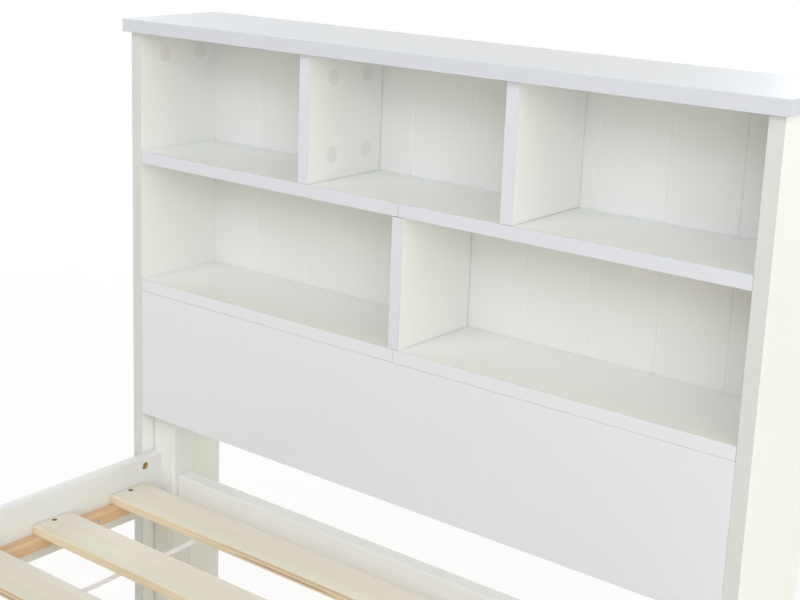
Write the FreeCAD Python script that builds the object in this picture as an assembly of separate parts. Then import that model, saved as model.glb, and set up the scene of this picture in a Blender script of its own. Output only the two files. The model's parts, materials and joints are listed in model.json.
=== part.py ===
import FreeCAD, Part
import os
from FreeCAD import Placement, Rotation, Vector

# A twin bed with a bookcase headboard. The case stands on two full-height side
# panels and two posts; it has three small bays over two wide ones and a closed
# front panel below them. Two side rails are bolted to the head and foot posts
# and carry twelve slats on ledgers.
# Millimetres, +Z up, +Y towards the head, origin on the floor at the middle of
# the bed's box. Left and right are as seen from the foot end.

# Mattress and the room around it
mattress_w = 991.0
mattress_l = 1905.0
mattress_side_gap = 5.5
mattress_end_gap = 6.0

# Headboard case
total_h = 1016.0
case_depth = 183.0
side_t = 20.0
board_t = 19.0
cap_t = 20.0
cap_overhang = 10.0
upper_bay_h = 187.5
lower_bay_h = 191.0
front_panel_h = 211.0
cleat_w = 40.0
cleat_t = 20.0

# Back panel: sheet in a housing round three sides, V-grooved like boarding
back_t = 6.0
back_lip = 10.0
housing_depth = 6.0
housing_clear = 0.5
vee_pitch = 105.0
vee_w = 3.2
vee_depth = 1.3

# Posts, rails and slats
post_w = 48.5
post_deep = 44.0
post_setback = 26.0
post_ease = 4.5
rail_t = 17.0
rail_h = 106.0
rail_drop = 70.0
rail_ease = 4.0
cross_rail_t = 28.0
cross_rail_setback = 10.5
cross_rail_drop = 38.0
cross_rail_ease = 3.0
slat_count = 12
slat_w = 74.0
slat_t = 15.0
slat_pitch = 158.0
slat_first = 12.0
slat_drop = 44.5
slat_end_gap = 1.0
slat_ease = 2.2
ledger_w = 20.0
ledger_h = 20.0
ledger_end_gap = 5.0
ledger_ease = 1.5
foot_post_rise = 12.0

# Webbing that spaces the slats
strap_w = 10.5
strap_t = 1.2
strap_offset = 303.5
strap_tail = 8.0
staple_w = 8.0
staple_leg = 7.0
staple_wire = 1.1

# Cam locks, their bolts and covers, and wooden dowels
cam_r = 7.5
cam_deep = 12.5
cam_from_end = 37.5
cam_front = 53.0
cam_spacing = 78.0
cam_bolt_r = 3.0
cam_bolt_head_r = 3.5
cam_bolt_head = 4.0
cam_bolt_thread = 11.0
cam_hole_clear = 0.5
cam_slot_w = 1.4
cam_slot_deep = 1.5
cover_r = 12.0
cover_t = 0.5
dowel_r = 4.0
dowel_in_face = 11.0
dowel_in_end = 19.0
dowel_clear = 0.5
divider_dowel_spread = 58.0
panel_cam_inset = 48.0
panel_dowel_spacing = 240.0
post_dowel_r = 5.0
post_dowel_reach = 25.0
post_dowel_inset = 17.0

# Rail bolts with barrel nuts
bolt_r = 3.0
bolt_clear = 0.5
bolt_head_r = 6.5
bolt_head_h = 3.0
bolt_sink = 3.5
bolt_socket = 2.0
bolt_past_nut = 8.0
nut_r = 6.0
nut_len = 14.0
nut_clear = 0.4
nut_sink = 0.8
nut_slot_w = 2.0
nut_slot_deep = 3.0
nut_turn = -40
nut_from_end = 34.5
nut_inset = 16.5
foot_nut_inset = 33.0

# Screws: head radius, shank radius, length and head depth; the posts' screws stand at
# these shares of the height below the rails and of the front panel's height
slat_screw = (4.5, 2.0, 25.0, 2.8)
ledger_screw = (4.0, 2.0, 32.0, 2.6)
cleat_screw = (4.0, 2.0, 32.0, 2.6)
post_screw = (4.5, 2.5, 60.0, 3.0)
back_screw = (3.5, 1.5, 18.0, 1.6)
screw_tip = 4.0
post_screw_sink = 3.0
post_screw_low = 0.3
post_screw_high = (0.35, 0.8)
slat_screw_inset = 8.0
slat_screw_sink = 0.5
cleat_screw_x = 12.0
cleat_screw_spread = 17.0
ledger_screw_every = 2
back_screws_per_half = 3
recess_w = 1.0
recess_deep = 1.2

# Floor glides
glide_r = 9.0
glide_t = 4.0
glide_stud_r = 2.0
glide_stud = 12.0
glide_ease = 1.0
panel_glide_inset = 24.0

# Levels worked out from the driving dimensions
cap_under = total_h - cap_t
mid_top = cap_under - upper_bay_h
mid_under = mid_top - board_t
low_top = mid_under - lower_bay_h
low_under = low_top - board_t
panel_under = low_under - front_panel_h
rail_top = panel_under - rail_drop
rail_under = rail_top - rail_h
slat_top = rail_top - slat_drop
slat_under = slat_top - slat_t
cross_top = rail_top - cross_rail_drop

# Widths and places along the bed
bed_half = mattress_w / 2 + mattress_side_gap
case_half = bed_half + rail_t
outer_half = case_half + side_t
face_y = (mattress_l + mattress_end_gap + post_deep - case_depth - cap_overhang) / 2
back_y = face_y + case_depth - back_lip - back_t
rear_y = face_y + case_depth
head_post_y = face_y + post_setback
cross_y = head_post_y + cross_rail_setback
foot_y = face_y - mattress_end_gap - mattress_l
mid_y = face_y + cam_front + cam_spacing / 2
cam_ys = (face_y + cam_front, face_y + cam_front + cam_spacing)
bay_w = (2 * case_half - 2 * board_t) / 3
divider_x = bay_w / 2 + board_t / 2
slat_ys = [face_y - slat_first - slat_w / 2 - i * slat_pitch for i in range(slat_count)]

X = Vector(1, 0, 0)
Y = Vector(0, 1, 0)
Z = Vector(0, 0, 1)
SIDES = (("left", -1), ("right", 1))

boards = {}
groups = {}
holes = {}


def block(x, y, z):
    """Box between two corners, each axis given as a pair of limits in any order."""
    low = Vector(min(x), min(y), min(z))
    return Part.makeBox(abs(x[1] - x[0]), abs(y[1] - y[0]), abs(z[1] - z[0]), low)


def rod(radius, start, end):
    """Round bar from one point to another."""
    return Part.makeCylinder(radius, start.distanceToPoint(end), start, end - start)


def aimed(shape, place, direction):
    """Shape made along +Z from the origin, moved to a place and turned to a direction."""
    turned = shape.copy()
    turned.Placement = Placement(place, Rotation(Z, direction))
    return turned


def eased(shape, radius, along):
    """Board with its four long edges, those that run along one axis, rounded."""
    edges = []
    for edge in shape.Edges:
        run = edge.Vertexes[-1].Point - edge.Vertexes[0].Point
        if run.cross(along).Length < 1e-6:
            edges.append(edge)
    return shape.makeFillet(radius, edges)


def drill(name, *cutters):
    holes.setdefault(name, []).extend(cutters)


def add(group, solid):
    groups.setdefault(group, []).append(solid)


# ---- Fasteners, each made along +Z with the face of its board at the origin ----

def cross_recess(reach):
    """Cutter for the crossed slot in a screw head or a cam."""
    bars = []
    for half_x, half_y in ((reach, recess_w / 2), (recess_w / 2, reach)):
        bars.append(block((-half_x, half_x), (-half_y, half_y), (-recess_deep, recess_deep)))
    return bars[0].fuse(bars[1])


def flat_screw(size):
    """Countersunk screw: its full body, which is also its hole, and the finished screw."""
    head_r, shank_r, length, head_h = size
    body = Part.makeCone(shank_r, head_r, head_h, Vector(0, 0, -head_h))
    shank = length - head_h - screw_tip
    body = body.fuse(Part.makeCylinder(shank_r, shank, Vector(0, 0, screw_tip - length)))
    body = body.fuse(Part.makeCone(shank_r * 0.2, shank_r, screw_tip, Vector(0, 0, -length)))
    body = body.removeSplitter()
    return body, body.cut(cross_recess(head_r * 0.55))


def pan_screw(size):
    """Screw with a low round head that stands on the face."""
    head_r, shank_r, length, head_h = size
    head = Part.makeCylinder(head_r, head_h)
    rim = [edge for edge in head.Edges if edge.BoundBox.ZMin > head_h / 2]
    head = head.makeFillet(head_h * 0.6, rim)
    shank = Part.makeCylinder(shank_r, length - screw_tip, Vector(0, 0, screw_tip - length))
    shank = shank.fuse(Part.makeCone(shank_r * 0.2, shank_r, screw_tip, Vector(0, 0, -length)))
    recess = cross_recess(head_r * 0.5)
    recess.translate(Vector(0, 0, head_h))
    return shank.removeSplitter(), head.fuse(shank).removeSplitter().cut(recess)


def drive_screw(group, kind, size, place, out, through):
    """Set a screw with its head on a face that looks `out`, through the named boards."""
    body, finished = kind(size)
    add(group, aimed(finished, place, out))
    drill_shape = aimed(body, place, out)
    for name in through:
        drill(name, drill_shape)


def cam_lock(place, face, thickness, covered):
    """Cam drum let into a board from one face; `place` is on the board's mid plane."""
    mouth = place + face * (thickness / 2)
    drum = Part.makeCylinder(cam_r, cam_deep, Vector(0, 0, -cam_deep))
    for half_x, half_y in ((cam_r * 0.6, cam_slot_w / 2), (cam_slot_w / 2, cam_r * 0.6)):
        drum = drum.cut(block((-half_x, half_x), (-half_y, half_y), (-cam_slot_deep, cam_slot_deep)))
    if covered:
        add("cam_cover_discs", rod(cover_r, mouth, mouth + face * cover_t))
    return aimed(drum, mouth, face), rod(cam_r, mouth, mouth - face * cam_deep)


def cam_joint(holder, mate, joint, toward, face, thickness, covered=True):
    """Bolt screwed into `mate` at the point `joint`, held by a cam in `holder`."""
    place = joint - toward * cam_from_end
    drum, pocket = cam_lock(place, face, thickness, covered)
    hole_r = cam_bolt_head_r + cam_hole_clear
    half_head = toward * cam_bolt_head / 2
    bore = rod(hole_r, place - half_head, joint)
    head = rod(cam_bolt_head_r, place - half_head, place + half_head)
    shank = rod(cam_bolt_r, place, joint + toward * cam_bolt_thread)
    add("cam_locks", drum.cut(bore))
    add("cam_bolts", head.fuse(shank).removeSplitter())
    drill(holder, pocket, bore)
    drill(mate, rod(cam_bolt_r, joint, joint + toward * cam_bolt_thread))


def dowel_joint(end_board, face_board, joint, toward, into=dowel_in_face):
    """Wooden dowel from a board's end at the point `joint` into the board that it meets."""
    start = joint - toward * dowel_in_end
    stop = joint + toward * into
    add("wood_dowels", rod(dowel_r, start, stop))
    socket = rod(dowel_r, start - toward * dowel_clear, stop + toward * dowel_clear)
    for name in (end_board, *face_board):
        drill(name, socket)


# ---- Headboard case ----

def side_panel(sign):
    panel = block((sign * case_half, sign * outer_half), (face_y, rear_y), (glide_t, cap_under))
    housing = block((sign * case_half, sign * (case_half + housing_depth)), (back_y, back_y + back_t),
                    (low_under, cap_under))
    return panel.cut(housing)


def cap_board():
    reach = outer_half + cap_overhang
    board = block((-reach, reach), (face_y - cap_overhang, rear_y + cap_overhang), (cap_under, total_h))
    housing_half = case_half + housing_depth
    housing = block((-housing_half, housing_half), (back_y, back_y + back_t),
                    (cap_under, cap_under + housing_depth))
    return board.cut(housing)


def back_panel():
    """Sheet with a V-groove on the centre line and at every pitch from it."""
    half = case_half + housing_depth - housing_clear
    top = cap_under + housing_depth - housing_clear
    sheet = block((-half, half), (back_y, back_y + back_t), (low_under, top))
    steps = int((case_half - vee_w) // vee_pitch)
    mouth = vee_w / 2
    profile = [Vector(-mouth, 0, 0), Vector(0, vee_depth, 0), Vector(mouth, 0, 0), Vector(-mouth, 0, 0)]
    for step in range(-steps, steps + 1):
        vee = Part.Face(Part.makePolygon(profile)).extrude(Z * (top - low_under))
        vee.translate(Vector(step * vee_pitch, back_y, low_under))
        sheet = sheet.cut(vee)
    return sheet


def case_boards():
    for side, sign in SIDES:
        boards["side_panel_" + side] = side_panel(sign)
        boards["mid_shelf_" + side] = block((0, sign * case_half), (face_y, back_y), (mid_under, mid_top))
        boards["lower_shelf_" + side] = block((0, sign * case_half), (face_y, back_y), (low_under, low_top))
        inner = sign * (divider_x - board_t / 2)
        outer = sign * (divider_x + board_t / 2)
        boards["upper_divider_" + side] = block((inner, outer), (face_y, back_y), (mid_top, cap_under))
    boards["lower_divider"] = block((-board_t / 2, board_t / 2), (face_y, back_y), (low_top, mid_under))
    panel_back = face_y + board_t
    boards["front_panel"] = block((-case_half, case_half), (face_y, panel_back), (panel_under, low_under))
    boards["shelf_seam_cleat"] = block((-cleat_w / 2, cleat_w / 2), (panel_back, back_y),
                                       (low_under - cleat_t, low_under))
    boards["cap_board"] = cap_board()
    boards["back_panel"] = back_panel()


def case_joints():
    """Cams and dowels that hold the case together."""
    for side, sign in SIDES:
        panel = "side_panel_" + side
        divider = "upper_divider_" + side
        inward = X * -sign
        outward = X * sign
        panel_x = sign * (case_half + side_t / 2)
        for y in cam_ys:
            cam_joint(panel, "cap_board", Vector(panel_x, y, cap_under), Z, inward, side_t)
            upper = Vector(sign * divider_x, y, cap_under)
            cam_joint(divider, "cap_board", upper, Z, inward, board_t)
            lower = Vector(sign * divider_x, y, mid_top)
            cam_joint(divider, "mid_shelf_" + side, lower, -Z, inward, board_t)
        dowel_joint(panel, ["cap_board"], Vector(panel_x, mid_y, cap_under), Z)
        dowel_joint(divider, ["cap_board"], Vector(sign * divider_x, mid_y, cap_under), Z)
        dowel_joint(divider, ["mid_shelf_" + side], Vector(sign * divider_x, mid_y, mid_top), -Z)
        for shelf, top, covered in (("mid_shelf_", mid_top, True), ("lower_shelf_", low_top, False)):
            level = top - board_t / 2
            for y in cam_ys:
                joint = Vector(sign * case_half, y, level)
                cam_joint(shelf + side, panel, joint, outward, -Z, board_t, covered)
            dowel_joint(shelf + side, [panel], Vector(sign * case_half, mid_y, level), outward)
        panel_mid = face_y + board_t / 2
        for z in (low_under - panel_cam_inset, panel_under + panel_cam_inset):
            joint = Vector(sign * case_half, panel_mid, z)
            cam_joint("front_panel", panel, joint, outward, Y, board_t, False)
        middle_z = (low_under + panel_under) / 2
        dowel_joint("front_panel", [panel], Vector(sign * case_half, panel_mid, middle_z), outward)
        for step in (0.5, 1.5):
            place = Vector(sign * step * panel_dowel_spacing, panel_mid, low_under)
            dowel_joint("front_panel", ["lower_shelf_" + side], place, Z)


def seam_joints():
    """Shelf halves drawn together end to end, and the divider pegged on their seam."""
    for shelf, top, covered in (("mid_shelf_", mid_top, True), ("lower_shelf_", low_top, False)):
        level = top - board_t / 2
        for y in cam_ys:
            middle = Vector(0, y, level)
            reach = cam_from_end + cam_bolt_head / 2
            bore = rod(cam_bolt_head_r + cam_hole_clear, middle - X * reach, middle + X * reach)
            bolt = rod(cam_bolt_r, middle - X * cam_from_end, middle + X * cam_from_end)
            for side, sign in SIDES:
                place = middle + X * sign * cam_from_end
                drum, pocket = cam_lock(place, -Z, board_t, covered)
                add("cam_locks", drum.cut(bore))
                drill(shelf + side, pocket, bore)
                half_head = X * cam_bolt_head / 2
                bolt = bolt.fuse(rod(cam_bolt_head_r, place - half_head, place + half_head))
            add("shelf_seam_bolts", bolt.removeSplitter())
        dowel_joint(shelf + "left", [shelf + "right"], Vector(0, mid_y, level), X, dowel_in_end)
    for joint_z, toward, shelf in ((mid_under, Z, "mid_shelf_"), (low_top, -Z, "lower_shelf_")):
        for step in (-1, 1):
            place = Vector(0, mid_y + step * divider_dowel_spread, joint_z)
            dowel_joint("lower_divider", [shelf + "left", shelf + "right"], place, toward)
    for side, sign in SIDES:
        through = ("shelf_seam_cleat", "lower_shelf_" + side)
        for step in (-1, 1):
            place = Vector(sign * cleat_screw_x, mid_y + step * cleat_screw_spread, low_under - cleat_t)
            drive_screw("cleat_screws", flat_screw, cleat_screw, place, -Z, through)


def back_panel_fixings():
    """Small screws through the back panel into the shelves' rear edges."""
    for side, sign in SIDES:
        for shelf, top in (("mid_shelf_", mid_top), ("lower_shelf_", low_top)):
            for step in range(back_screws_per_half):
                x = sign * case_half * (step + 0.5) / back_screws_per_half
                place = Vector(x, back_y + back_t, top - board_t / 2)
                through = ("back_panel", shelf + side)
                drive_screw("back_panel_screws", pan_screw, back_screw, place, Y, through)


# ---- Posts and rails ----

def post(sign, y, top):
    solid = block((sign * (case_half - post_w), sign * case_half), (y, y + post_deep), (glide_t, top))
    return eased(solid, post_ease, Z)


def rail_bolt(length):
    """Bolt along -Z from the underside of its flat head, with a hexagon socket."""
    corners = [Vector(bolt_head_r * 0.42, 0, 0)]
    for turn in range(1, 7):
        corners.append(Rotation(Z, 60 * turn).multVec(corners[0]))
    socket = Part.Face(Part.makePolygon(corners)).extrude(Z * bolt_socket)
    socket.translate(Z * (bolt_head_h - bolt_socket))
    shank = Part.makeCylinder(bolt_r, length, Vector(0, 0, -length))
    return Part.makeCylinder(bolt_head_r, bolt_head_h).fuse(shank).removeSplitter().cut(socket)


def barrel_nut():
    """Slotted barrel with a cross hole for the bolt; its visible end is at the origin, facing +Z."""
    barrel = Part.makeCylinder(nut_r, nut_len, Vector(0, 0, -nut_len))
    slot = block((-nut_r, nut_r), (-nut_slot_w / 2, nut_slot_w / 2), (-nut_slot_deep, nut_slot_deep))
    slot.rotate(Vector(), Z, nut_turn)
    return barrel.cut(slot)


def bolt_corner(group, post_name, rail_name, outer, along, post_size, inner):
    """One bolt from a post's outer face through to a barrel nut in the rail.

    `outer` is the bolt's point on that outer face and `along` its run; `inner` looks out of
    the rail's seen face.
    """
    seat = outer + along * bolt_sink
    meet = outer + along * post_size
    nut_at = meet + along * nut_from_end
    length = post_size - bolt_sink + nut_from_end + bolt_past_nut
    add(group, aimed(rail_bolt(length), seat, -along))
    drill(post_name, rod(bolt_head_r + bolt_clear, outer, seat), rod(bolt_r + bolt_clear, seat, meet))
    drill(rail_name, rod(bolt_r + bolt_clear, meet, nut_at + along * (bolt_past_nut + bolt_clear)))
    mouth = nut_at + inner * (rail_t / 2)
    nut = aimed(barrel_nut(), mouth - inner * nut_sink, inner)
    add("barrel_nuts", nut.cut(rod(bolt_r, meet, nut_at + along * bolt_past_nut)))
    drill(rail_name, rod(nut_r + nut_clear, mouth, mouth - inner * (nut_len + nut_sink + nut_clear)))


def rails_and_posts():
    cross_half = case_half - post_w
    cross = block((-cross_half, cross_half), (cross_y, cross_y + cross_rail_t), (rail_under, cross_top))
    boards["head_cross_rail"] = eased(cross, cross_rail_ease, X)
    foot = block((-cross_half, cross_half), (foot_y - rail_t, foot_y), (rail_under, rail_top))
    boards["foot_rail"] = eased(foot, rail_ease, X)
    for side, sign in SIDES:
        boards["head_post_" + side] = post(sign, head_post_y, low_under)
        boards["foot_post_" + side] = post(sign, foot_y - post_deep, rail_top + foot_post_rise)
        rail = block((sign * bed_half, sign * case_half), (foot_y, head_post_y), (rail_under, rail_top))
        rail_name = "side_rail_" + side
        boards[rail_name] = eased(rail, rail_ease, Y)
        bolt_x = sign * (case_half - rail_t / 2)
        inward = X * -sign
        for z in (rail_top - nut_inset, rail_under + nut_inset):
            for post_name, post_back, along in (("head_post_", head_post_y + post_deep, -Y),
                                                ("foot_post_", foot_y - post_deep, Y)):
                outer = Vector(bolt_x, post_back, z)
                bolt_corner("side_rail_bolts", post_name + side, rail_name, outer, along, post_deep, inward)
        for z in (rail_top - foot_nut_inset, rail_under + foot_nut_inset):
            outer = Vector(sign * case_half, foot_y - rail_t / 2, z)
            bolt_corner("foot_rail_bolts", "foot_post_" + side, "foot_rail", outer, inward, post_w, Y)


def post_fixings():
    """Long dowels between cross rail and posts, and screws from the posts into the side panels."""
    screw_levels = [rail_under * post_screw_low]
    screw_levels += [panel_under + front_panel_h * share for share in post_screw_high]
    for side, sign in SIDES:
        post_name = "head_post_" + side
        for z in (cross_top - post_dowel_inset, rail_under + post_dowel_inset):
            joint = Vector(sign * (case_half - post_w), cross_y + cross_rail_t / 2, z)
            reach = X * post_dowel_reach
            gap = X * dowel_clear
            add("cross_rail_dowels", rod(post_dowel_r, joint - reach, joint + reach))
            for name in ("head_cross_rail", post_name):
                drill(name, rod(post_dowel_r, joint - reach - gap, joint + reach + gap))
        face_x = sign * (case_half - post_w)
        inward = X * -sign
        for z in screw_levels:
            mouth = Vector(face_x, head_post_y + post_deep / 2, z)
            place = mouth - inward * post_screw_sink
            drill(post_name, rod(post_screw[0] + bolt_clear, mouth, place))
            through = (post_name, "side_panel_" + side)
            drive_screw("post_screws", flat_screw, post_screw, place, inward, through)


# ---- Slats, ledgers and webbing ----

def slat_bed():
    slat_half = bed_half - slat_end_gap
    for index, y in enumerate(slat_ys):
        name = "slat_%02d" % (index + 1)
        slat = block((-slat_half, slat_half), (y - slat_w / 2, y + slat_w / 2), (slat_under, slat_top))
        boards[name] = eased(slat, slat_ease, X)
    for side, sign in SIDES:
        ledger_name = "slat_ledger_" + side
        ledger_ends = (foot_y + ledger_end_gap, face_y - ledger_end_gap)
        ledger_x = sign * (bed_half - ledger_w)
        ledger = block((ledger_x, sign * bed_half), ledger_ends, (slat_under - ledger_h, slat_under))
        boards[ledger_name] = eased(ledger, ledger_ease, Y)
        for index, y in enumerate(slat_ys):
            mouth = Vector(sign * (slat_half - slat_screw_inset), y, slat_top)
            place = mouth - Z * slat_screw_sink
            through = ("slat_%02d" % (index + 1), ledger_name)
            drive_screw("slat_screws", flat_screw, slat_screw, place, Z, through)
            drill(through[0], rod(slat_screw[0], place, mouth))
        for y in slat_ys[::ledger_screw_every]:
            place = Vector(ledger_x, y - slat_pitch / 2, slat_under - ledger_h / 2)
            through = (ledger_name, "side_rail_" + side)
            drive_screw("ledger_screws", flat_screw, ledger_screw, place, X * -sign, through)


def staple():
    """Wire staple seen from below: crown under the webbing at the origin, legs up."""
    wire = (-staple_wire / 2, staple_wire / 2)
    crown = block((-staple_w / 2, staple_w / 2), wire, (-staple_wire, 0))
    for sign in (-1, 1):
        inner = sign * (staple_w / 2 - staple_wire)
        leg = block((inner, sign * staple_w / 2), wire, (-staple_wire, staple_leg))
        crown = crown.fuse(leg)
    return crown.removeSplitter()


def webbing():
    strap_ends = (slat_ys[0] + slat_w / 2 - strap_tail, slat_ys[-1] - slat_w / 2 + strap_tail)
    for side, sign in SIDES:
        x = sign * strap_offset
        name = "slat_strap_" + side
        edges = (x - strap_w / 2, x + strap_w / 2)
        boards[name] = block(edges, strap_ends, (slat_under - strap_t, slat_under))
        for index, y in enumerate(slat_ys):
            wire = staple()
            wire.translate(Vector(x, y, slat_under - strap_t))
            add("strap_staples", wire)
            drill(name, wire)
            drill("slat_%02d" % (index + 1), wire)


# ---- Floor glides ----

def glide(carrier, place):
    """Floor glide with a short stud driven up into its carrier."""
    disc = Part.makeCylinder(glide_r, glide_t)
    disc = disc.makeFillet(glide_ease, [edge for edge in disc.Edges if edge.BoundBox.ZMax < glide_t / 2])
    stud = Part.makeCylinder(glide_stud_r, glide_stud, Vector(0, 0, glide_t))
    solid = disc.fuse(stud)
    solid.translate(place)
    stud.translate(place)
    add("floor_glides", solid)
    drill(carrier, stud)


def floor_glides():
    for side, sign in SIDES:
        post_x = sign * (case_half - post_w / 2)
        glide("head_post_" + side, Vector(post_x, head_post_y + post_deep / 2, 0))
        glide("foot_post_" + side, Vector(post_x, foot_y - post_deep / 2, 0))
        panel_x = sign * (case_half + side_t / 2)
        for y in (face_y + panel_glide_inset, rear_y - panel_glide_inset):
            glide("side_panel_" + side, Vector(panel_x, y, 0))


def save(name, shape, solids):
    found = len(shape.Solids)
    if found != solids or not shape.isValid():
        raise ValueError("%s has %d solids, not %d, or isn't valid" % (name, found, solids))
    shape.exportStep("parts/%s.step" % name)


os.makedirs("parts", exist_ok=True)
case_boards()
case_joints()
seam_joints()
back_panel_fixings()
rails_and_posts()
post_fixings()
slat_bed()
webbing()
floor_glides()

for board_name, board in boards.items():
    if board_name in holes:
        board = board.cut(holes[board_name])
    save(board_name, board, 1)
for group_name, solids in groups.items():
    save(group_name, Part.makeCompound(solids), len(solids))
small = sum(len(solids) for solids in groups.values())
print(len(boards) + len(groups), "parts, of which", len(groups), "groups hold", small, "small pieces")
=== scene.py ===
import math

import bmesh
import bpy
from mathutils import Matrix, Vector
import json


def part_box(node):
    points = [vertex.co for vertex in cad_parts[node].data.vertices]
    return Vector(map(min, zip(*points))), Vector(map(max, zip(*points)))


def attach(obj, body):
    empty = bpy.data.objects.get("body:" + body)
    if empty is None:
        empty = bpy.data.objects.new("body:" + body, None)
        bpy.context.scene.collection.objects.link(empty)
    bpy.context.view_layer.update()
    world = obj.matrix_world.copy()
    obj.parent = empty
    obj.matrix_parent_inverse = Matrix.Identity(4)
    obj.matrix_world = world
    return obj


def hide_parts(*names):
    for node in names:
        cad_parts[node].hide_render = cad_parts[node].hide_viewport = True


# The bed as its joints and sizes are made: every board, bolt and slat at its real place.
# All of it stands still, so it rides on one body.
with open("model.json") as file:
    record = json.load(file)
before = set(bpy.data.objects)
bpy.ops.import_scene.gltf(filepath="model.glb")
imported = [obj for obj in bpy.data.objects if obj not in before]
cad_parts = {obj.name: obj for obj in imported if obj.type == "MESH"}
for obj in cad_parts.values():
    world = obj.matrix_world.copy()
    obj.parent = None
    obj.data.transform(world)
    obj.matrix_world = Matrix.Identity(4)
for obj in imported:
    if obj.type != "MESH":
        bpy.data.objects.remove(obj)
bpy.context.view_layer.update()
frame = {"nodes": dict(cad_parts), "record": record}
MM = 0.001
BODY = "root"
scene = bpy.context.scene
scene.view_settings.view_transform = "Standard"

# ---- Camera ----
# The photograph was taken from ahead of the foot end's right side, a little above the cap board.
# Its frame is a crop, so the lens looks slightly off the middle of it.
photo_width_px = 800
focal_px = 1474.7
eye_data = bpy.data.cameras.new("eye")
eye_data.sensor_width = 36.0
eye_data.lens = focal_px * eye_data.sensor_width / photo_width_px
eye_data.shift_x = 0.0752
eye_data.shift_y = -0.0753
eye = bpy.data.objects.new("eye", eye_data)
eye.location = (1.2012, -0.6823, 1.2400)
eye.rotation_euler = [math.radians(turn) for turn in (76.16, -1.595, 40.21)]
scene.collection.objects.link(eye)
scene.camera = eye

# ---- Posts and rails ----
# Finger-jointed pine, planed, its long edges rounded over, then sprayed with a satin white
# paint that lets the grain show as faint ridges and sinks a little into the end grain.
paint_ease = 0.5 * MM
paint_white = (0.737, 0.747, 0.739, 1)
paint_cloud = (0.726, 0.734, 0.726, 1)
paint_thin = (0.681, 0.681, 0.657, 1)
paint_relief = 0.02 * MM


def new_group(name, inputs, outputs):
    """Empty shader group with named sockets, and its input and output nodes."""
    group = bpy.data.node_groups.new(name, "ShaderNodeTree")
    for label, kind, start in inputs:
        socket = group.interface.new_socket(name=label, in_out="INPUT", socket_type=kind)
        if start is not None:
            socket.default_value = start
    for label, kind in outputs:
        group.interface.new_socket(name=label, in_out="OUTPUT", socket_type=kind)
    return group, group.nodes.new("NodeGroupInput"), group.nodes.new("NodeGroupOutput")


def math_node(tree, operation, first, second=None):
    """Math node fed by a socket or a number on each side; gives its output socket."""
    node = tree.nodes.new("ShaderNodeMath")
    node.operation = operation
    for slot_index, value in enumerate((first, second)):
        if isinstance(value, bpy.types.NodeSocket):
            tree.links.new(value, node.inputs[slot_index])
        elif value is not None:
            node.inputs[slot_index].default_value = value
    return node.outputs[0]


def mix_colours(tree, factor, first, second):
    """Colour mix of two sockets or plain colours; gives its output socket."""
    node = tree.nodes.new("ShaderNodeMix")
    node.data_type = "RGBA"
    for slot_index, value in ((0, factor), (6, first), (7, second)):
        if isinstance(value, bpy.types.NodeSocket):
            tree.links.new(value, node.inputs[slot_index])
        else:
            node.inputs[slot_index].default_value = value
    return node.outputs[2]


def noise_node(tree, vector, scale, detail=2.0):
    """Noise read at a vector socket; gives its grey output socket."""
    node = tree.nodes.new("ShaderNodeTexNoise")
    tree.links.new(vector, node.inputs["Vector"])
    node.inputs["Detail"].default_value = detail
    if isinstance(scale, bpy.types.NodeSocket):
        tree.links.new(scale, node.inputs["Scale"])
    else:
        node.inputs["Scale"].default_value = scale
    return node.outputs["Fac"]


def ramp_between(tree, value, low, high):
    """Smooth step of a grey socket from 0 at `low` to 1 at `high`."""
    node = tree.nodes.new("ShaderNodeMapRange")
    node.interpolation_type = "SMOOTHSTEP"
    tree.links.new(value, node.inputs["Value"])
    node.inputs["From Min"].default_value = low
    node.inputs["From Max"].default_value = high
    return node.outputs["Result"]


# Growth rings seen along a board: long streaks of late wood, with finer pores between them.
# Its vector is already stretched along the run of the grain.
pine_grain, grain_in, grain_out = new_group(
    "pine_grain",
    [("Vector", "NodeSocketVector", None), ("Early wood", "NodeSocketColor", (0.6, 0.45, 0.3, 1)),
     ("Late wood", "NodeSocketColor", (0.45, 0.3, 0.18, 1)), ("Rings", "NodeSocketFloat", 40.0)],
    [("Color", "NodeSocketColor"), ("Height", "NodeSocketFloat"), ("Roughness", "NodeSocketFloat")])
bend = noise_node(pine_grain, grain_in.outputs["Vector"], 6.0, 2.0)
rings = noise_node(pine_grain, grain_in.outputs["Vector"], grain_in.outputs["Rings"], 3.0)
pores = noise_node(pine_grain, grain_in.outputs["Vector"], 420.0, 2.0)
streak = math_node(pine_grain, "ADD", ramp_between(pine_grain, rings, 0.38, 0.66),
                   math_node(pine_grain, "MULTIPLY", bend, 0.35))
streak = math_node(pine_grain, "ADD", streak, math_node(pine_grain, "MULTIPLY", pores, 0.18))
share = ramp_between(pine_grain, streak, 0.1, 1.25)
tone = mix_colours(pine_grain, share, grain_in.outputs["Early wood"], grain_in.outputs["Late wood"])
pine_grain.links.new(tone, grain_out.inputs["Color"])
pine_grain.links.new(math_node(pine_grain, "SUBTRACT", 1.0, share), grain_out.inputs["Height"])
rough = math_node(pine_grain, "ADD", math_node(pine_grain, "MULTIPLY", pores, 0.2), 0.5)
pine_grain.links.new(rough, grain_out.inputs["Roughness"])

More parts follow.
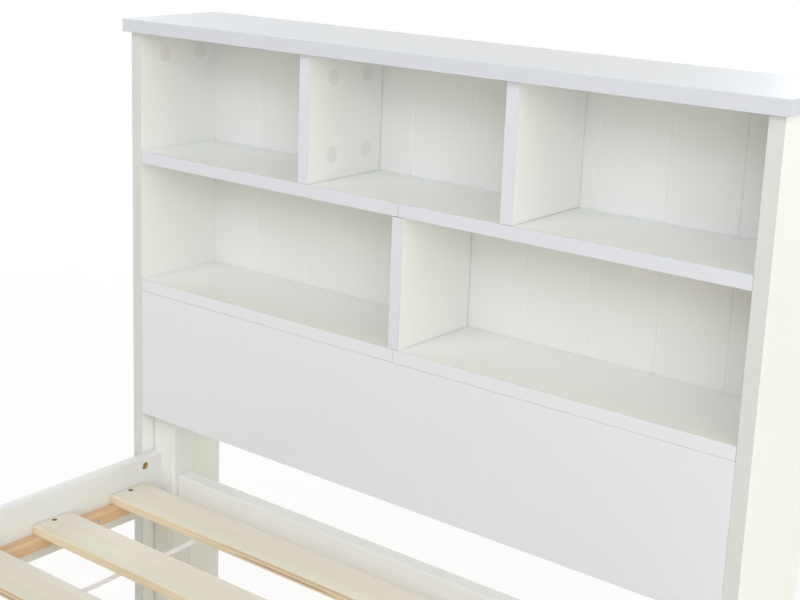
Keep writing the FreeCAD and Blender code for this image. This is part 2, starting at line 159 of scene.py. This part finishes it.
# The skin of a sprayed or pressed finish: slow clouds of tone and a fine orange-peel surface.
skin, skin_in, skin_out = new_group(
    "finish_skin",
    [("Vector", "NodeSocketVector", None), ("Light tone", "NodeSocketColor", (0.8, 0.8, 0.8, 1)),
     ("Dark tone", "NodeSocketColor", (0.7, 0.7, 0.7, 1)), ("Peel scale", "NodeSocketFloat", 700.0),
     ("Gloss spread", "NodeSocketFloat", 0.1), ("Roughness", "NodeSocketFloat", 0.4)],
    [("Color", "NodeSocketColor"), ("Height", "NodeSocketFloat"), ("Roughness", "NodeSocketFloat")])
clouds = noise_node(skin, skin_in.outputs["Vector"], 7.0, 3.0)
peel = noise_node(skin, skin_in.outputs["Vector"], skin_in.outputs["Peel scale"], 1.0)
cover = math_node(skin, "ADD", math_node(skin, "MULTIPLY", clouds, 0.85),
                  math_node(skin, "MULTIPLY", peel, 0.15))
cloudy = mix_colours(skin, ramp_between(skin, cover, 0.35, 0.65), skin_in.outputs["Dark tone"],
                     skin_in.outputs["Light tone"])
skin.links.new(cloudy, skin_out.inputs["Color"])
skin.links.new(peel, skin_out.inputs["Height"])
spread = math_node(skin, "MULTIPLY", math_node(skin, "SUBTRACT", clouds, 0.5),
                   skin_in.outputs["Gloss spread"])
skin.links.new(math_node(skin, "ADD", spread, skin_in.outputs["Roughness"]),
               skin_out.inputs["Roughness"])


def new_material(name):
    """Material with its node tree and shader."""
    material = bpy.data.materials.new(name)
    material.use_nodes = True
    return material, material.node_tree, material.node_tree.nodes["Principled BSDF"]


def place_vector(tree, stretch=(1, 1, 1), shift=(0, 0, 0)):
    """Object coordinates in metres, pressed together along an axis where the grain runs long."""
    where = tree.nodes.new("ShaderNodeTexCoord")
    mapping = tree.nodes.new("ShaderNodeMapping")
    mapping.inputs["Location"].default_value = shift
    mapping.inputs["Scale"].default_value = stretch
    tree.links.new(where.outputs["Object"], mapping.inputs["Vector"])
    return mapping.outputs["Vector"]


def put_group(tree, group, vector, **values):
    """Group node with its vector linked and its named inputs set."""
    node = tree.nodes.new("ShaderNodeGroup")
    node.node_tree = group
    tree.links.new(vector, node.inputs["Vector"])
    for label, value in values.items():
        node.inputs[label.replace("_", " ")].default_value = value
    return node


def bump_into(tree, shader, height, depth):
    """Bump from a grey height socket, `depth` in metres, into the shader's normal."""
    node = tree.nodes.new("ShaderNodeBump")
    node.inputs["Distance"].default_value = depth
    tree.links.new(height, node.inputs["Height"])
    tree.links.new(node.outputs["Normal"], shader.inputs["Normal"])


GRAIN_ALONG = {"x": (0.06, 1, 1), "y": (1, 0.06, 1), "z": (1, 1, 0.06)}


def painted_pine(run):
    """Satin white paint over pine whose grain runs along one axis."""
    material, tree, shader = new_material("painted_pine_" + run)
    grain = put_group(tree, pine_grain, place_vector(tree, GRAIN_ALONG[run]), Rings=60.0)
    film = put_group(tree, skin, place_vector(tree), Light_tone=paint_white, Dark_tone=paint_cloud,
                     Peel_scale=520.0, Roughness=0.40)
    hollow = math_node(tree, "SUBTRACT", 1.0, grain.outputs["Height"])
    sunk = math_node(tree, "MULTIPLY", hollow, 0.10)
    tree.links.new(mix_colours(tree, sunk, film.outputs["Color"], paint_thin),
                   shader.inputs["Base Color"])
    tree.links.new(film.outputs["Roughness"], shader.inputs["Roughness"])
    height = math_node(tree, "ADD", grain.outputs["Height"],
                       math_node(tree, "MULTIPLY", film.outputs["Height"], 0.4))
    bump_into(tree, shader, height, paint_relief)
    return material


merge_gap = 0.01 * MM
shortest_eased = 12 * MM
sharp_turn = math.radians(40)
shaded_turn = math.radians(35)
square_on = 0.9999


def softened(node, ease, materials, picker=None, joints=()):
    """Copy of a board with its long sharp edges eased, which stands for its node.

    `picker` tells which of the materials a face takes. `joints` names the ends that stop a
    sliver short of the next board, such as ("+z", 0.3 * MM), so that the joint reads as a line.
    """
    form = bmesh.new()
    form.from_mesh(frame["nodes"][node].data)
    bmesh.ops.remove_doubles(form, verts=form.verts, dist=merge_gap)
    for end, sliver in joints:
        axis = "xyz".index(end[1])
        outward = 1 if end[0] == "+" else -1
        reach = max(outward * corner.co[axis] for corner in form.verts)
        for corner in form.verts:
            if outward * corner.co[axis] > reach - merge_gap:
                corner.co[axis] -= outward * sliver
    sharp = [edge for edge in form.edges
             if len(edge.link_faces) == 2 and edge.calc_length() > shortest_eased
             and edge.calc_face_angle(0) > sharp_turn]
    bmesh.ops.bevel(form, geom=sharp, offset=ease, offset_type="OFFSET", segments=2, profile=0.5,
                    affect="EDGES", material=-1)
    for face in form.faces:
        face.smooth = max(abs(part) for part in face.normal) < square_on
        face.material_index = int(picker(face)) if picker else 0
    for edge in form.edges:
        edge.smooth = edge.calc_face_angle(0) < shaded_turn
    mesh = bpy.data.meshes.new(node + "_board")
    form.to_mesh(mesh)
    form.free()
    for material in materials:
        mesh.materials.append(material)
    board = bpy.data.objects.new(node + "_board", mesh)
    scene.collection.objects.link(board)
    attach(board, BODY)
    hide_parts(node)


slot_of = {entry["node"]: entry["material_slot"] for entry in frame["record"]["subparts"]}
paint = {run: painted_pine(run) for run in GRAIN_ALONG}
for side in ("left", "right"):
    softened("head_post_" + side, paint_ease, [paint["z"]])
    softened("foot_post_" + side, paint_ease, [paint["z"]])
    softened("side_rail_" + side, paint_ease, [paint["y"]])
softened("head_cross_rail", paint_ease, [paint["x"]])
softened("foot_rail", paint_ease, [paint["x"]])

# ---- Case boards ----
# Chipboard faced with a warm white satin film. Shelves, dividers and the cap have a cooler
# white tape ironed on their front edges; the front panel is a flat, slightly brighter board.
board_ease = 0.4 * MM
joint_line = 0.3 * MM
rear_line = ("+y", joint_line * 2.5)
film_relief = 0.02 * MM


def faced_board(name, light, dark, roughness):
    """Pressed satin film in one white."""
    material, tree, shader = new_material(name)
    film = put_group(tree, skin, place_vector(tree), Light_tone=light, Dark_tone=dark,
                     Peel_scale=900.0, Roughness=roughness)
    tree.links.new(film.outputs["Color"], shader.inputs["Base Color"])
    tree.links.new(film.outputs["Roughness"], shader.inputs["Roughness"])
    bump_into(tree, shader, film.outputs["Height"], film_relief)
    return material


board_white = faced_board("board_white", (0.836, 0.848, 0.830, 1), (0.826, 0.838, 0.820, 1), 0.42)
edge_white = faced_board("edge_white", (0.632, 0.656, 0.732, 1), (0.624, 0.648, 0.724, 1), 0.38)
warm_edge = faced_board("warm_edge", (0.602, 0.621, 0.629, 1), (0.594, 0.613, 0.621, 1), 0.42)
cap_white = faced_board("cap_white", (0.775, 0.798, 0.864, 1), (0.767, 0.790, 0.856, 1), 0.42)
cap_edge = faced_board("cap_edge", (0.586, 0.611, 0.692, 1), (0.578, 0.603, 0.684, 1), 0.38)
panel_white = faced_board("panel_white", (0.688, 0.706, 0.763, 1), (0.684, 0.702, 0.759, 1), 0.42)
# Dark grey for the eased corners beside the tape: painted shade, a shadow line drawn along each
# side of the tape.
seam_painted_shade = faced_board("seam_painted_shade", (0.410, 0.420, 0.420, 1), (0.390, 0.400, 0.400, 1), 0.50)


def taped_front(face):
    """1 for the taped edge towards the foot of the bed, 2 for its eased corners, which take a
    painted shadow line, else 0.
    """
    if face.normal.y < -0.9:
        return 1
    return 2 if face.normal.y < -0.3 else 0


def taped_board(node, tape, joints):
    """Faced board with tape on its front edge and a thin dark painted shadow line along each side
    of the tape.
    """
    softened(node, board_ease, [board_white, tape, seam_painted_shade], picker=taped_front, joints=joints)


taped_board("lower_divider", edge_white, [("+z", joint_line * 3), ("-z", joint_line), rear_line])
for side, outer, inner in (("left", "-x", "+x"), ("right", "+x", "-x")):
    taped_board("mid_shelf_" + side, edge_white,
                [(outer, joint_line), (inner, joint_line), ("+y", joint_line)])
    taped_board("lower_shelf_" + side, panel_white,
                [(outer, joint_line), (inner, joint_line / 2), rear_line])
    taped_board("upper_divider_" + side, edge_white,
                [("+z", joint_line), ("-z", joint_line), rear_line])
    taped_board("side_panel_" + side, warm_edge, [("+z", joint_line)])
softened("front_panel", board_ease, [panel_white],
         joints=[("+z", joint_line), ("-x", joint_line / 2), ("+x", joint_line / 2)])
softened("cap_board", board_ease, [cap_white, cap_edge],
         picker=lambda face: abs(face.normal.z) < 0.5)

# ---- Back panel ----
# Thin grooved sheet like boarding, sprayed white on its face and housed in the side panels.
# Small screws hold it to the shelves' rear edges.
sheet_white = faced_board("sheet_white", (0.760, 0.767, 0.765, 1), (0.750, 0.757, 0.755, 1), 0.48)


def finish_node(node, material):
    """Give a node that keeps its own shape its material."""
    mesh = frame["nodes"][node].data
    mesh.materials.clear()
    mesh.materials.append(material)


finish_node("back_panel", sheet_white)

# ---- Cleat and dowels ----
# Sanded raw pine under the shelves' seam, and fluted beech dowels in the boards' ends.


def raw_wood(name, run, early, late, rings, relief=0.08 * MM):
    """Bare planed wood whose grain runs along one axis."""
    material, tree, shader = new_material(name)
    grain = put_group(tree, pine_grain, place_vector(tree, GRAIN_ALONG[run]), Early_wood=early,
                      Late_wood=late, Rings=rings)
    tree.links.new(grain.outputs["Color"], shader.inputs["Base Color"])
    tree.links.new(grain.outputs["Roughness"], shader.inputs["Roughness"])
    bump_into(tree, shader, grain.outputs["Height"], relief)
    return material


softened("shelf_seam_cleat", paint_ease,
         [raw_wood("cleat_pine", "y", (0.60, 0.43, 0.25, 1), (0.45, 0.28, 0.13, 1), 50.0)])
beech = raw_wood("dowel_beech", "x", (0.55, 0.38, 0.24, 1), (0.45, 0.29, 0.17, 1), 90.0)
for node in ("wood_dowels", "cross_rail_dowels"):
    finish_node(node, beech)

# ---- Cams, bolts, screws and staples ----
# Die-cast zinc cam drums, zinc-plated steel bolts and screws, and bright wire staples. The
# covers over the cams that show are self-adhesive discs, faintly pink beside the boards.


metal_relief = 0.01 * MM
dull_share = 0.86


def plated(name, colour, roughness):
    """Plated or cast metal with a fine, slightly uneven sheen."""
    material, tree, shader = new_material(name)
    film = put_group(tree, skin, place_vector(tree), Light_tone=colour,
                     Dark_tone=tuple(part * dull_share for part in colour[:3]) + (1,),
                     Peel_scale=2600.0, Gloss_spread=0.25, Roughness=roughness)
    tree.links.new(film.outputs["Color"], shader.inputs["Base Color"])
    tree.links.new(film.outputs["Roughness"], shader.inputs["Roughness"])
    shader.inputs["Metallic"].default_value = 1.0
    bump_into(tree, shader, film.outputs["Height"], metal_relief)
    return material


cast_zinc = plated("cast_zinc", (0.50, 0.50, 0.51, 1), 0.45)
zinc_plate = plated("zinc_plate", (0.56, 0.55, 0.53, 1), 0.32)
finish_node("cam_locks", cast_zinc)
for node in ("cam_bolts", "shelf_seam_bolts", "cleat_screws", "post_screws", "ledger_screws",
             "back_panel_screws", "strap_staples"):
    finish_node(node, zinc_plate)
# The slat screws take a dark brown zinc. It is darkened partly as painted shade from the
# countersunk holes they sit in.
finish_node("slat_screws", plated("dark_zinc_and_shade", (0.27, 0.22, 0.16, 1), 0.42))
cover_white = faced_board("cover_white", (0.780, 0.762, 0.750, 1), (0.770, 0.752, 0.740, 1), 0.6)
finish_node("cam_cover_discs", cover_white)

# ---- Rail bolts and barrel nuts ----
# Flat-headed bolts with a hexagon socket run through the posts into slotted brass barrels
# that lie across the rails.
bolt_steel = plated("bolt_steel", (0.42, 0.42, 0.43, 1), 0.30)
finish_node("side_rail_bolts", bolt_steel)
finish_node("foot_rail_bolts", bolt_steel)
finish_node("barrel_nuts", plated("barrel_brass", (0.52, 0.38, 0.13, 1), 0.30))

# ---- Floor glides ----
# Moulded white discs on short studs, under the posts and the side panels.
glide_plastic = faced_board("glide_plastic", (0.62, 0.62, 0.60, 1), (0.60, 0.60, 0.58, 1), 0.5)
finish_node("floor_glides", glide_plastic)

# ---- Slat ledgers ----
# Planed pine battens, left bare, screwed along the inside of the side rails.
ledger_ease = 0.3 * MM
ledger_pine = raw_wood("ledger_pine", "y", (0.73, 0.53, 0.345, 1), (0.64, 0.42, 0.25, 1), 34.0,
                       relief=0.03 * MM)
for side in ("left", "right"):
    softened("slat_ledger_" + side, ledger_ease, [ledger_pine])

# ---- Slats ----
# Strips sawn from thin plywood: a pale, faintly figured face veneer over layers that alternate
# between long grain and darker end grain, which show as stripes along the sawn edges.
slat_low, slat_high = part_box("slat_01")
slat_ease = 0.25 * MM
saw_relief = 0.08 * MM
plies = 5
split_layer = 1.9


def slat_face():
    """Pale face veneer with soft, wide figure along the slat."""
    material, tree, shader = new_material("slat_face")
    vector = place_vector(tree, (0.10, 1, 1))
    grain = put_group(tree, pine_grain, vector, Early_wood=(0.730, 0.690, 0.600, 1),
                      Late_wood=(0.700, 0.650, 0.550, 1), Rings=30.0)
    patches = noise_node(tree, place_vector(tree, (0.4, 1, 1)), 14.0, 3.0)
    faint = math_node(tree, "MULTIPLY", ramp_between(tree, patches, 0.45, 0.70), 0.6)
    tree.links.new(mix_colours(tree, faint, grain.outputs["Color"], (0.720, 0.660, 0.590, 1)),
                   shader.inputs["Base Color"])
    tree.links.new(grain.outputs["Roughness"], shader.inputs["Roughness"])
    bump_into(tree, shader, grain.outputs["Height"], 0.02 * MM)
    return material


def slat_edge():
    """Sawn edge: faint layers by height, a reddish line under the face and a split in places."""
    material, tree, shader = new_material("slat_edge")
    where = tree.nodes.new("ShaderNodeTexCoord")
    split = tree.nodes.new("ShaderNodeSeparateXYZ")
    tree.links.new(where.outputs["Object"], split.inputs["Vector"])
    up = math_node(tree, "SUBTRACT", split.outputs["Z"], slat_low.z)
    layer = math_node(tree, "MULTIPLY", up, plies / (slat_high.z - slat_low.z))
    odd = math_node(tree, "FLOORED_MODULO", math_node(tree, "FLOOR", layer), 2.0)
    long_grain = put_group(tree, pine_grain, place_vector(tree, GRAIN_ALONG["x"]),
                           Early_wood=(0.675, 0.580, 0.440, 1),
                           Late_wood=(0.630, 0.525, 0.380, 1), Rings=120.0)
    end_grain = put_group(tree, pine_grain, place_vector(tree), Early_wood=(0.620, 0.510, 0.370, 1),
                          Late_wood=(0.565, 0.450, 0.310, 1), Rings=500.0)
    stripes = mix_colours(tree, odd, long_grain.outputs["Color"], end_grain.outputs["Color"])
    slow = noise_node(tree, place_vector(tree, (0.25, 3, 0.25), (0.45, 0, 0)), 9.0, 1.0)
    sap = math_node(tree, "SUBTRACT", 1.0, ramp_between(tree, slow, 0.34, 0.46))
    stripes = mix_colours(tree, math_node(tree, "MULTIPLY", sap, 0.55), stripes,
                          (0.760, 0.680, 0.510, 1))
    to_top = math_node(tree, "ABSOLUTE", math_node(tree, "SUBTRACT", layer, plies - 0.75))
    under_face = math_node(tree, "SUBTRACT", 1.0, ramp_between(tree, to_top, 0.15, 0.60))
    reddened = math_node(tree, "MULTIPLY", under_face, ramp_between(tree, slow, 0.46, 0.52))
    lined = mix_colours(tree, math_node(tree, "MULTIPLY", reddened, 0.7), stripes,
                        (0.46, 0.33, 0.24, 1))
    to_split = math_node(tree, "ABSOLUTE", math_node(tree, "SUBTRACT", layer, split_layer))
    narrow = math_node(tree, "SUBTRACT", 1.0, ramp_between(tree, to_split, 0.12, 0.42))
    gap = math_node(tree, "MULTIPLY", narrow, ramp_between(tree, slow, 0.50, 0.545))
    tree.links.new(mix_colours(tree, gap, lined, (0.24, 0.14, 0.09, 1)),
                   shader.inputs["Base Color"])
    shader.inputs["Roughness"].default_value = 0.65
    height = math_node(tree, "SUBTRACT", long_grain.outputs["Height"], gap)
    bump_into(tree, shader, height, saw_relief)
    return material


slat_materials = [slat_face(), slat_edge()]
slat_nodes = sorted(node for node in slot_of if slot_of[node] == "slat_ply")
for node in slat_nodes:
    softened(node, slat_ease, slat_materials, picker=lambda face: abs(face.normal.z) < 0.6)

# ---- Webbing under the slats ----
# Flat white polyester webbing, stapled to the underside of every slat to keep them spaced. It
# sags a little in each gap.
web_weave = 1.1 * MM
web_sag = 1.6 * MM
web_steps = 8


def webbing_white():
    """Plain-woven flat webbing: ribs across it and finer yarns along it."""
    material, tree, shader = new_material("webbing_white")
    where = place_vector(tree)
    ribs = tree.nodes.new("ShaderNodeTexWave")
    ribs.bands_direction = "Y"
    tree.links.new(where, ribs.inputs["Vector"])
    ribs.inputs["Scale"].default_value = 1 / (web_weave * 20 / math.pi)
    yarns = tree.nodes.new("ShaderNodeTexWave")
    yarns.bands_direction = "X"
    tree.links.new(where, yarns.inputs["Vector"])
    yarns.inputs["Scale"].default_value = ribs.inputs["Scale"].default_value * 0.8
    weave = math_node(tree, "MULTIPLY", ribs.outputs["Fac"], yarns.outputs["Fac"])
    tree.links.new(mix_colours(tree, weave, (0.74, 0.72, 0.70, 1), (0.82, 0.80, 0.79, 1)),
                   shader.inputs["Base Color"])
    shader.inputs["Roughness"].default_value = 0.8
    shader.inputs["Sheen Weight"].default_value = 0.2
    bump_into(tree, shader, weave, 0.15 * MM)
    return material


web_white = webbing_white()
slat_spans = sorted((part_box(node) for node in slat_nodes), key=lambda span: -span[0].y)
for side in ("left", "right"):
    node = "slat_strap_" + side
    low, high = (Vector(corner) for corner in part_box(node))
    form = bmesh.new()
    bmesh.ops.create_cube(form, size=1.0)
    bmesh.ops.scale(form, verts=form.verts, vec=high - low)
    bmesh.ops.translate(form, verts=form.verts, vec=(low + high) / 2)
    for upper, lower in zip(slat_spans, slat_spans[1:]):
        near, far = upper[0].y, lower[1].y
        for step in range(web_steps + 1):
            cut = near + (far - near) * step / web_steps
            bmesh.ops.bisect_plane(form, geom=form.verts[:] + form.edges[:] + form.faces[:],
                                   dist=0.001 * MM, plane_co=(0, cut, 0), plane_no=(0, 1, 0))
        for corner in form.verts:
            share = (near - corner.co.y) / (near - far)
            if 0 < share < 1:
                corner.co.z -= web_sag * math.sin(math.pi * share)
    for face in form.faces:
        face.smooth = True
    for edge in form.edges:
        edge.smooth = edge.calc_face_angle(0) < shaded_turn
    mesh = bpy.data.meshes.new(node + "_web")
    form.to_mesh(mesh)
    form.free()
    mesh.materials.append(web_white)
    web = bpy.data.objects.new(node + "_web", mesh)
    scene.collection.objects.link(web)
    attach(web, BODY)
    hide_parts(node)

# ---- Floor, backdrop and lamps ----
# A white studio: a wide key lamp beyond the foot on the right, a cooler one over the foot, two
# on the right, two behind, and a warm even sky. Floor and sky read as white to the camera, and
# the floor fades to pure white from `floor_fade[0]` to `floor_fade[1]` metres out.
floor_size = 40.0
floor_glow = 0.90
floor_fade = (1.2, 4.5)
lamps_aim = Vector((0, 0.95, 0.6))
form = bmesh.new()
bmesh.ops.create_grid(form, x_segments=1, y_segments=1, size=floor_size / 2)
floor_mesh = bpy.data.meshes.new("studio_floor")
form.to_mesh(floor_mesh)
form.free()
floor = bpy.data.objects.new("studio_floor", floor_mesh)
scene.collection.objects.link(floor)
floor_material, tree, shader = new_material("studio_floor")
shader.inputs["Base Color"].default_value = (0.95, 0.90, 0.79, 1)
shader.inputs["Roughness"].default_value = 0.9
glow = tree.nodes.new("ShaderNodeEmission")
glow.inputs["Strength"].default_value = 1.0
path = tree.nodes.new("ShaderNodeLightPath")
blend = tree.nodes.new("ShaderNodeMixShader")
seen = math_node(tree, "MAXIMUM", path.outputs["Is Camera Ray"], path.outputs["Is Glossy Ray"])
reach = tree.nodes.new("ShaderNodeVectorMath")
reach.operation = "LENGTH"
tree.links.new(place_vector(tree), reach.inputs[0])
fade = ramp_between(tree, reach.outputs["Value"], *floor_fade)
glow_share = math_node(tree, "ADD", math_node(tree, "MULTIPLY", fade, 1 - floor_glow), floor_glow)
tree.links.new(math_node(tree, "MULTIPLY", seen, glow_share), blend.inputs["Fac"])
tree.links.new(shader.outputs["BSDF"], blend.inputs[1])
tree.links.new(glow.outputs["Emission"], blend.inputs[2])
tree.links.new(blend.outputs["Shader"], tree.nodes["Material Output"].inputs["Surface"])
floor_mesh.materials.append(floor_material)

sky = bpy.data.worlds.new("studio_sky")
sky.use_nodes = True
scene.world = sky
tree = sky.node_tree
lit = tree.nodes["Background"]
lit.inputs["Color"].default_value = (1.0, 0.85, 0.50, 1)
lit.inputs["Strength"].default_value = 0.27
white = tree.nodes.new("ShaderNodeBackground")
white.inputs["Color"].default_value = (1, 1, 1, 1)
white.inputs["Strength"].default_value = 1.0
path = tree.nodes.new("ShaderNodeLightPath")
blend = tree.nodes.new("ShaderNodeMixShader")
mirrored = math_node(tree, "MAXIMUM", path.outputs["Is Glossy Ray"],
                     path.outputs["Is Transmission Ray"])
seen = math_node(tree, "MAXIMUM", path.outputs["Is Camera Ray"], mirrored)
tree.links.new(seen, blend.inputs["Fac"])
tree.links.new(lit.outputs["Background"], blend.inputs[1])
tree.links.new(white.outputs["Background"], blend.inputs[2])
tree.links.new(blend.outputs["Shader"], tree.nodes["World Output"].inputs["Surface"])


def soft_lamp(name, place, size, power, tint=(0.972, 0.985, 1.0)):
    """Square area lamp aimed at the bookcase."""
    data = bpy.data.lights.new(name, "AREA")
    data.shape = "SQUARE"
    data.size = size
    data.energy = power
    data.color = tint
    lamp = bpy.data.objects.new(name, data)
    lamp.location = place
    lamp.rotation_euler = (lamps_aim - Vector(place)).to_track_quat("-Z", "Y").to_euler()
    scene.collection.objects.link(lamp)


soft_lamp("lamp_key", (4.97, -5.89, 3.03), 5.4, 291)
soft_lamp("lamp_front", (-0.43, -4.01, 4.78), 4.5, 188, (0.87, 0.925, 1.0))
soft_lamp("lamp_right", (5.44, -0.51, 3.85), 4.5, 130)
soft_lamp("lamp_side", (5.4, 1.1, 1.3), 2.2, 22, (0.55, 0.78, 1.0))
soft_lamp("lamp_rear", (0, 7.31, 1.95), 4.0, 262, (0.88, 0.94, 1.0))
soft_lamp("lamp_rear_left", (-5.2, 2.9, 2.9), 3.5, 84, (0.78, 0.89, 1.0))
